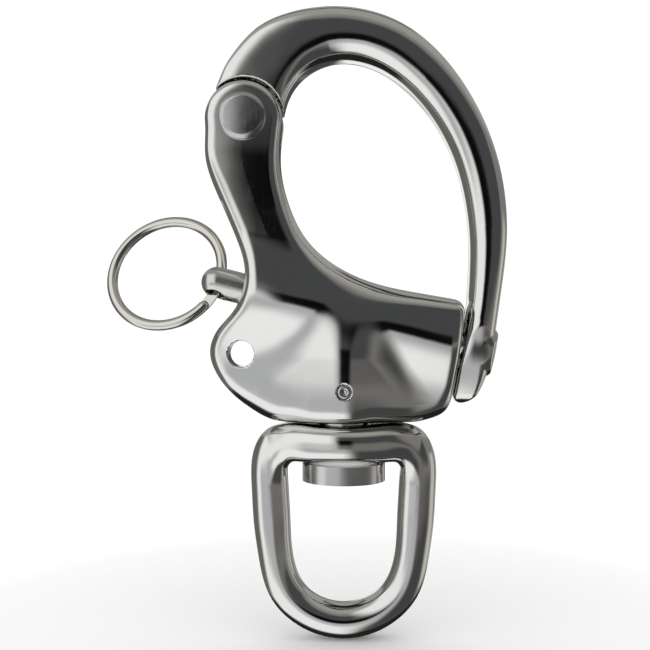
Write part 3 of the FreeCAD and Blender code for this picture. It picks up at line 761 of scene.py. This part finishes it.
# the other pieces keep their meshes
FINISHES = {"plunger": turned, "plunger_bush": turned, "plunger_spring": wire,
            "swivel_post": turned, "thrust_washer": plastic}
for piece_name, finish in FINISHES.items():
    piece_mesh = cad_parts[piece_name].data
    piece_mesh.materials.clear()
    piece_mesh.materials.append(finish)


# ------------------------------------------------------------------ stage

FLOOR_RADIUS = 0.11                 # the floor fades out towards this, so that no horizon shows


def floor_finish():
    """Pale and dull, fading out with the distance from the middle."""
    mat = bpy.data.materials.new("pale_floor")
    mat.use_nodes = True
    tree = mat.node_tree
    shader = tree.nodes["Principled BSDF"]
    shader.inputs["Base Color"].default_value = (0.985, 0.985, 0.985, 1)
    shader.inputs["Roughness"].default_value = 0.7
    length = node(tree, "ShaderNodeVectorMath", operation="LENGTH")
    tree.links.new(node(tree, "ShaderNodeTexCoord").outputs["Object"], length.inputs[0])
    fade = ease(tree, length.outputs["Value"], FLOOR_RADIUS, FLOOR_RADIUS * 0.25)
    tree.links.new(fade, shader.inputs["Alpha"])
    return mat


def make_floor():
    """A square under the part, which reflections don't see."""
    reach = FLOOR_RADIUS * 1.2
    corners = [(x * reach, y * reach, LOW.z) for x, y in ((-1, -1), (1, -1), (1, 1), (-1, 1))]
    mesh = bpy.data.meshes.new("floor")
    mesh.from_pydata(corners, [], [(0, 1, 2, 3)])
    mesh.materials.append(floor_finish())
    square = bpy.data.objects.new("floor", mesh)
    square.visible_glossy = False
    bpy.context.scene.collection.objects.link(square)
    return square


floor = make_floor()


# ------------------------------------------------------------------ light

# Soft panels round the part. A direction is given by how far it is from the front, in degrees to the
# right and up: (from, to) each way, the softness of the panel's edge, its brightness and its warmth.
# A later panel stands before the earlier ones.
ROOM = (0.24, 0.06)
PANELS = [
    ((-180, 180), (53, 180), 12, 0.40, 0.05),     # ceiling
    ((-180, 180), (-180, -74), 8, 0.02, 0.0),     # dark table
    ((-60, 60), (104, 114), 4, 0.03, 0.0),        # seam of the ceiling
    ((-180, -84), (-90, 60), 8, 0.16, 0.10),      # dim corner behind left
    ((14, 74), (-75, -12), 9, 0.07, -0.03),       # low right
    ((84, 116), (-60, 12), 6, 0.60, 0.08),        # strip behind right
    ((-77, -12), (-72, 60), 10, 1.06, 0.0),       # large soft box, left
    ((-52, 7), (-25, -5), 8, 0.55, -0.03),        # its dimmer lower half
    ((-64, 7), (-80, -24), 10, 1.10, 0.0),        # soft box below
    ((-8, 66), (-4, 38), 6, 0.075, -0.05),        # dark curtain, right
    ((-7, 12), (-8, 11), 4, 0.004, 0.0),          # dark spot straight in front
]
PLAIN_WHITE = (1.07, 1.07, 1.07, 1.0)


def light_colour(bright, warmth):
    return (bright * (1 + warmth / 2), bright, bright * (1 - warmth), 1)


def degrees_from_front(tree):
    """How far to the right and how far up a direction of the world is from the front."""
    split = node(tree, "ShaderNodeSeparateXYZ")
    tree.links.new(node(tree, "ShaderNodeTexCoord").outputs["Generated"], split.inputs["Vector"])
    x, y, z = split.outputs
    angle = calc(tree, "ARCCOSINE", calc(tree, "MULTIPLY", y, -1.0))
    from_front = calc(tree, "MULTIPLY", angle, 180 / math.pi)
    # behind the part the panels come again, at a third of the size
    from_behind = calc(tree, "MULTIPLY_ADD", from_front, -3.0, 540.0)
    from_front = calc(tree, "MINIMUM", from_front, from_behind)
    aside = calc(tree, "SQRT", calc(tree, "ADD", calc(tree, "MULTIPLY", x, x), calc(tree, "MULTIPLY", z, z)))
    scale = calc(tree, "DIVIDE", from_front, calc(tree, "MAXIMUM", aside, 1e-4))
    return calc(tree, "MULTIPLY", x, scale), calc(tree, "MULTIPLY", z, scale)


def within(tree, value, start, end, soft):
    """1 between start and end, fading to 0 over the soft edges."""
    risen = ease(tree, value, start - soft, start + soft)
    return calc(tree, "MULTIPLY", risen, ease(tree, value, end + soft, end - soft))


def studio():
    """The panels for reflections; the camera and dull surfaces see plain white."""
    made = bpy.data.worlds.new("studio")
    made.use_nodes = True
    tree = made.node_tree
    tree.nodes.clear()
    right, up = degrees_from_front(tree)
    level = light_colour(*ROOM)
    for across, upward, soft, bright, warmth in PANELS:
        cover = calc(tree, "MULTIPLY", within(tree, right, *across, soft), within(tree, up, *upward, soft))
        level = mixed(tree, cover, level, light_colour(bright, warmth))
    ray = node(tree, "ShaderNodeLightPath")
    plain = calc(tree, "MAXIMUM", ray.outputs["Is Camera Ray"], ray.outputs["Is Diffuse Ray"])
    back = node(tree, "ShaderNodeBackground")
    tree.links.new(mixed(tree, plain, level, PLAIN_WHITE), back.inputs["Color"])
    out = node(tree, "ShaderNodeOutputWorld")
    tree.links.new(back.outputs["Background"], out.inputs["Surface"])
    return made


bpy.context.scene.world = studio()


# ------------------------------------------------------------------ camera

DISTANCE = 0.180                    # of the camera from the middle plane
SPAN = 0.124                        # width of the view in that plane

camera = bpy.data.objects.new("camera", bpy.data.cameras.new("camera"))
camera.location = (-0.00353, -DISTANCE, (BEARING + 18.5) * MM)
camera.rotation_euler = (math.radians(90), 0, 0)
camera.data.sensor_width = 36
camera.data.lens = camera.data.sensor_width * DISTANCE / SPAN
camera.data.clip_start = 0.01
bpy.context.scene.collection.objects.link(camera)
bpy.context.scene.camera = camera
bpy.context.scene.view_settings.view_transform = "Standard"
